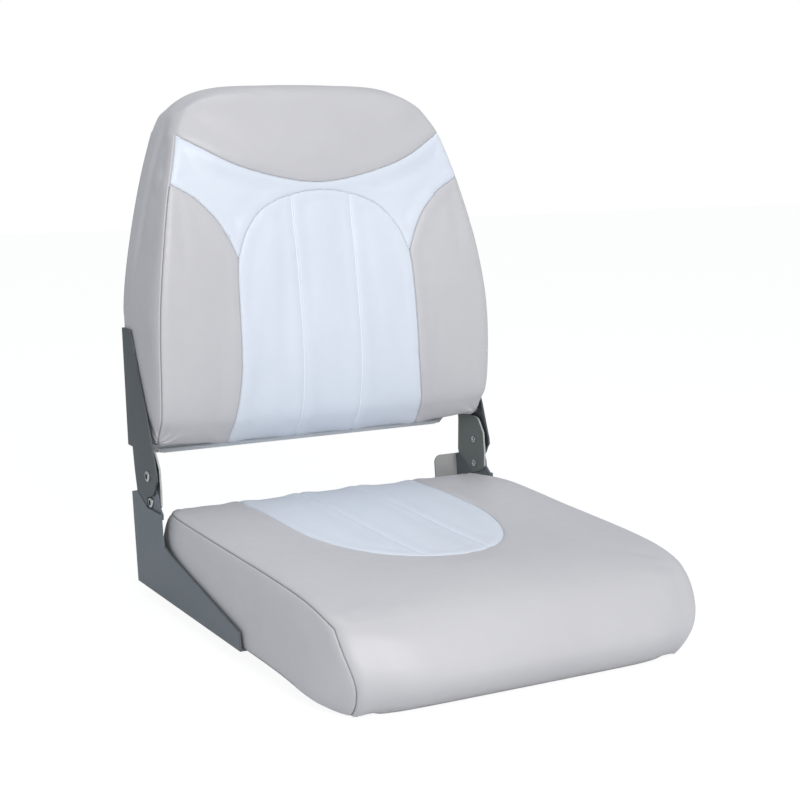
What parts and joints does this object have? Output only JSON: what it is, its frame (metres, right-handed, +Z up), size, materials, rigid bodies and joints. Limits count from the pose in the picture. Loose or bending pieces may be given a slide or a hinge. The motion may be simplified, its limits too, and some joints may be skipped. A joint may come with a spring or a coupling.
{
  "type": "folding boat seat",
  "caption": "High-back folding boat seat with padded two-tone vinyl cushions and a riveted steel hinge at each side.",
  "frame": {"origin": "centre of the pedestal bolt pattern on the underside of the seat base", "axes": "+Z up, -Y towards the front of the seat, +X to the right as seen from the front"},
  "size_m": [0.485, 0.6262, 0.6375],
  "materials": {
    "grey_vinyl": "satin grained vinyl",
    "white_vinyl": "satin grained vinyl",
    "painted_steel": "satin dark grey powder coat",
    "bright_steel": "bright",
    "moulded_plastic": "matte",
    "foam": "open-cell foam"
  },
  "bodies": {
    "seat": {"seat_base": "moulded_plastic", "tee_nut_1": "bright_steel", "tee_nut_2": "bright_steel", "tee_nut_3": "bright_steel", "tee_nut_4": "bright_steel", "seat_foam": "foam", "seat_cover_main": "grey_vinyl", "seat_cover_insert": "white_vinyl", "seat_cover_side_left": "grey_vinyl", "seat_cover_side_right": "grey_vinyl", "seat_bracket_left": "painted_steel", "lower_rivet_left": "bright_steel", "rear_screw_left": "bright_steel", "base_screw_left_1": "bright_steel", "base_screw_left_2": "bright_steel", "base_screw_left_3": "bright_steel", "seat_bracket_right": "painted_steel", "lower_rivet_right": "bright_steel", "rear_screw_right": "bright_steel", "base_screw_right_1": "bright_steel", "base_screw_right_2": "bright_steel", "base_screw_right_3": "bright_steel"},
    "link_left": {"hinge_link_left": "painted_steel"},
    "link_right": {"hinge_link_right": "painted_steel"},
    "back": {"back_panel": "moulded_plastic", "back_foam": "foam", "back_cover_head": "grey_vinyl", "back_cover_band": "white_vinyl", "back_cover_insert": "white_vinyl", "back_cover_bolster_left": "grey_vinyl", "back_cover_bolster_right": "grey_vinyl", "back_arm_left": "painted_steel", "hinge_spacer_left": "bright_steel", "upper_rivet_left": "bright_steel", "back_screw_left_1": "bright_steel", "back_screw_left_2": "bright_steel", "back_screw_left_3": "bright_steel", "back_arm_right": "painted_steel", "hinge_spacer_right": "bright_steel", "upper_rivet_right": "bright_steel", "back_screw_right_1": "bright_steel", "back_screw_right_2": "bright_steel", "back_screw_right_3": "bright_steel"}
  },
  "joints": [
    {"name": "link_left", "type": "hinge", "parent": "seat", "child": "link_left", "pos_m": [-0.2331, 0.243, 0.1115], "axis": [1, 0, 0], "range_deg": [0, 26]},
    {"name": "link_right", "type": "hinge", "parent": "seat", "child": "link_right", "pos_m": [0.2331, 0.243, 0.1115], "axis": [1, 0, 0], "range_deg": [0, 26]},
    {"name": "back", "type": "hinge", "parent": "link_left", "child": "back", "pos_m": [-0.2331, 0.245, 0.1445], "axis": [1, 0, 0], "range_deg": [0, 58]}
  ],
  "couplings": [
    {"joint": "link_right", "follows": "link_left", "ratio": 1}
  ]
}
